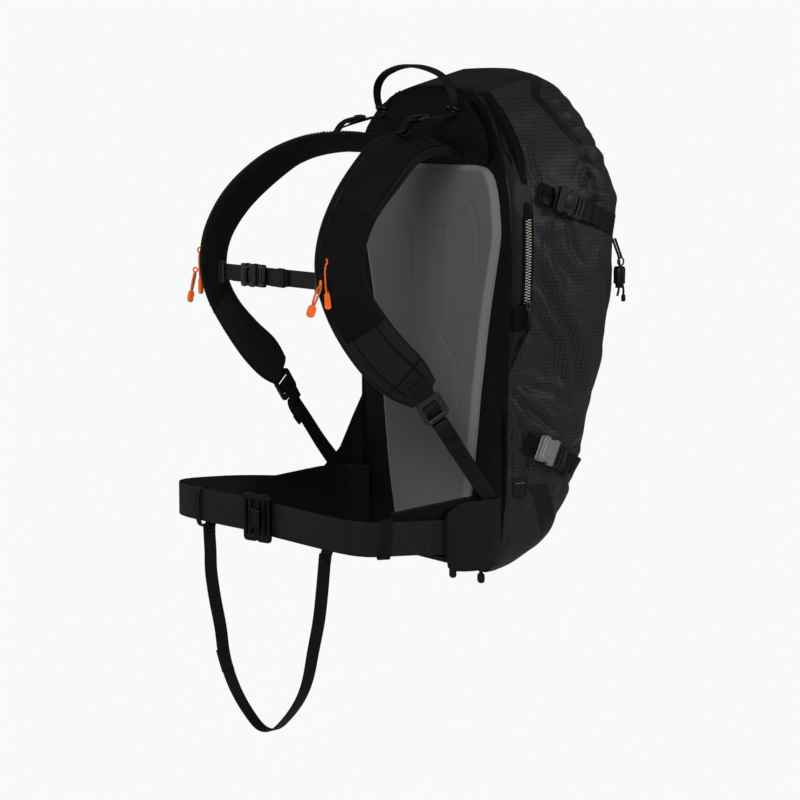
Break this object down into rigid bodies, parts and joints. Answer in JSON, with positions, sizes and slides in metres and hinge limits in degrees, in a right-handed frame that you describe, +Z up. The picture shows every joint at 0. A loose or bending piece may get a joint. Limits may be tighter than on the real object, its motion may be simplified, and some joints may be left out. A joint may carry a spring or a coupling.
{
  "type": "avalanche airbag backpack",
  "caption": "Panelled ski touring backpack with moulded back foam, shoulder and hip harness, leg strap and a packed electric airbag system inside.",
  "frame": {"origin": "on the back foam, where it rests on the wearer's back, on the middle line", "axes": "+X towards the wearer's left, -Y out of the back foam towards the wearer, +Z up"},
  "size_m": [0.3308, 0.5079, 0.8009],
  "materials": {
    "smooth_fabric": "matte plain weave",
    "ripstop": "matte ripstop weave",
    "back_foam": "moulded closed-cell foam, matte",
    "black_plastic": "moulded nylon",
    "stay_aluminium": "satin",
    "airbag_fabric": "coated nylon",
    "impeller_plastic": "moulded",
    "motor_steel": "brushed",
    "duct_rubber": "matte",
    "capacitor_sleeve": "shrink sleeve",
    "circuit_board": "solder mask",
    "cell_sleeve": "shrink sleeve",
    "orange_plastic": "moulded",
    "cable_sheath": "sheathed steel cable",
    "pad_fabric": "matte plain weave",
    "webbing": "woven nylon",
    "buckle_metal": "black anodised",
    "belt_webbing": "ribbed woven nylon",
    "belt_buckle_metal": "gloss black",
    "elastic": "woven elastic",
    "zip_coil": "coil",
    "zip_metal": "black",
    "orange_cord": "braided cord with moulded ends"
  },
  "bodies": {
    "pack": {"back_panel": "smooth_fabric", "back_foam": "back_foam", "frame_sheet": "black_plastic", "frame_stays": "stay_aluminium", "upper_back_pad": "smooth_fabric", "rear_gusset": "smooth_fabric", "lower_body": "ripstop", "bottom_panel": "smooth_fabric", "airbag": "airbag_fabric", "blower_housing": "black_plastic", "motor": "motor_steel", "outlet_duct": "duct_rubber", "power_case": "black_plastic", "capacitors": "capacitor_sleeve", "control_board": "circuit_board", "battery_cells": "cell_sleeve", "trigger_cable": "cable_sheath", "trigger_pocket": "smooth_fabric", "left_strap_pad": "pad_fabric", "right_strap_pad": "pad_fabric", "strap_webbing": "webbing", "load_lifter_straps": "webbing", "load_lifter_adjusters": "black_plastic", "left_hip_wing": "ripstop", "right_hip_wing": "ripstop", "belt_webbing": "belt_webbing", "belt_buckle_hook": "belt_buckle_metal", "leg_strap": "webbing", "lower_compression_straps": "webbing", "lower_buckle_females": "black_plastic", "main_zip": "zip_coil"},
    "front_section": {"upper_shell": "ripstop", "upper_compression_straps": "webbing", "upper_buckle_females": "black_plastic", "cord_lock": "black_plastic", "bungee_loop": "webbing"},
    "impeller": {"impeller": "impeller_plastic"},
    "power_button": {"power_button": "orange_plastic"},
    "trigger_handle": {"trigger_handle": "orange_plastic"},
    "haul_loop": {"haul_loop": "webbing"},
    "left_ladder_lock": {"left_ladder_lock": "buckle_metal"},
    "right_ladder_lock": {"right_ladder_lock": "buckle_metal"},
    "sternum_strap": {"sternum_webbing": "webbing", "sternum_buckle_female": "black_plastic"},
    "sternum_plug": {"sternum_buckle_male": "black_plastic"},
    "belt_buckle_frame": {"belt_buckle_frame": "belt_buckle_metal"},
    "belt_keeper": {"belt_keeper": "elastic"},
    "upper_left_plug": {"upper_left_buckle_male": "black_plastic"},
    "upper_right_plug": {"upper_right_buckle_male": "black_plastic"},
    "lower_left_plug": {"lower_left_buckle_male": "black_plastic"},
    "lower_right_plug": {"lower_right_buckle_male": "black_plastic"},
    "left_zip_slider": {"left_zip_slider": "zip_metal"},
    "right_zip_slider": {"right_zip_slider": "zip_metal"},
    "left_pull_upper": {"left_pull_upper": "orange_cord"},
    "left_pull_lower": {"left_pull_lower": "orange_cord"},
    "right_pull_upper": {"right_pull_upper": "orange_cord"},
    "right_pull_lower": {"right_pull_lower": "orange_cord"},
    "bottom_zip_pulls": {"bottom_zip_pulls": "black_plastic"},
    "cord_lock_button": {"cord_lock_button": "black_plastic"}
  },
  "joints": [
    {"name": "front_section_fold", "type": "hinge", "parent": "pack", "child": "front_section", "pos_m": [0, 0.21226, 0.049], "axis": [-1, 0, 0], "range_deg": [0, 32]},
    {"name": "impeller_spin", "type": "hinge", "parent": "pack", "child": "impeller", "pos_m": [0, 0.075, 0.133], "axis": [0, 0, 1], "continuous": true},
    {"name": "power_button_press", "type": "slide", "parent": "pack", "child": "power_button", "axis": [0, 0, -1], "range_m": [0, 0.0015], "stiffness_N_per_m": 300},
    {"name": "trigger_pull", "type": "slide", "parent": "pack", "child": "trigger_handle", "axis": [0.0959, -0.0417, -0.9945], "range_m": [0, 0.02]},
    {"name": "haul_loop_fold", "type": "hinge", "parent": "pack", "child": "haul_loop", "pos_m": [0, -0.017, 0.303], "axis": [1, 0, 0], "range_deg": [-12, 45], "stiffness_Nm_per_rad": 0.05},
    {"name": "left_ladder_lock_tilt", "type": "hinge", "parent": "pack", "child": "left_ladder_lock", "pos_m": [0.14956, -0.11782, -0.03695], "axis": [-0.3055, -0.7817, -0.5437], "range_deg": [0, 45]},
    {"name": "right_ladder_lock_tilt", "type": "hinge", "parent": "pack", "child": "right_ladder_lock", "pos_m": [-0.14956, -0.11782, -0.03695], "axis": [-0.3055, 0.7817, 0.5437], "range_deg": [0, 45]},
    {"name": "sternum_strap_height", "type": "slide", "parent": "pack", "child": "sternum_strap", "axis": [0, 0, 1], "range_m": [-0.012, 0.012]},
    {"name": "sternum_buckle_release", "type": "slide", "parent": "sternum_strap", "child": "sternum_plug", "axis": [1, 0, 0], "range_m": [0, 0.03]},
    {"name": "belt_buckle_release", "type": "slide", "parent": "pack", "child": "belt_buckle_frame", "axis": [0.9833, 0.1822, 0], "range_m": [0, 0.025]},
    {"name": "belt_keeper_slide", "type": "slide", "parent": "pack", "child": "belt_keeper", "axis": [0.0294, 0.9962, -0.0819], "range_m": [0, 0.04]},
    {"name": "upper_left_buckle_release", "type": "slide", "parent": "front_section", "child": "upper_left_plug", "axis": [0, 0.9455, -0.3256], "range_m": [0, 0.025]},
    {"name": "upper_right_buckle_release", "type": "slide", "parent": "front_section", "child": "upper_right_plug", "axis": [0, 0.9455, -0.3256], "range_m": [0, 0.025]},
    {"name": "lower_left_buckle_release", "type": "slide", "parent": "pack", "child": "lower_left_plug", "axis": [0, 0.9063, -0.4226], "range_m": [0, 0.025]},
    {"name": "lower_right_buckle_release", "type": "slide", "parent": "pack", "child": "lower_right_plug", "axis": [0, 0.9063, -0.4226], "range_m": [0, 0.025]},
    {"name": "left_zip_run", "type": "slide", "parent": "pack", "child": "left_zip_slider", "axis": [0.038, 0, 0.9993], "range_m": [0, 0.06]},
    {"name": "right_zip_run", "type": "slide", "parent": "pack", "child": "right_zip_slider", "axis": [-0.038, 0, 0.9993], "range_m": [0, 0.06]},
    {"name": "left_upper_pull_swing", "type": "hinge", "parent": "pack", "child": "left_pull_upper", "pos_m": [0.1315, -0.2502, 0.131], "axis": [-0.3987, -0.9171, 0], "range_deg": [0, 70]},
    {"name": "left_lower_pull_swing", "type": "hinge", "parent": "pack", "child": "left_pull_lower", "pos_m": [0.1303, -0.2577, 0.107], "axis": [-0.3987, -0.9171, 0], "range_deg": [0, 70]},
    {"name": "right_upper_pull_swing", "type": "hinge", "parent": "pack", "child": "right_pull_upper", "pos_m": [-0.1315, -0.2502, 0.131], "axis": [-0.3987, 0.9171, 0], "range_deg": [0, 70]},
    {"name": "right_lower_pull_swing", "type": "hinge", "parent": "pack", "child": "right_pull_lower", "pos_m": [-0.1303, -0.2577, 0.107], "axis": [-0.3987, 0.9171, 0], "range_deg": [0, 70]},
    {"name": "bottom_pulls_swing", "type": "hinge", "parent": "pack", "child": "bottom_zip_pulls", "pos_m": [0.049, 0.027, -0.2714], "axis": [0.9852, 0.1713, 0], "range_deg": [-60, 60]},
    {"name": "cord_lock_press", "type": "slide", "parent": "front_section", "child": "cord_lock_button", "axis": [0, 0, 1], "range_m": [0, 0.004], "stiffness_N_per_m": 300}
  ]
}
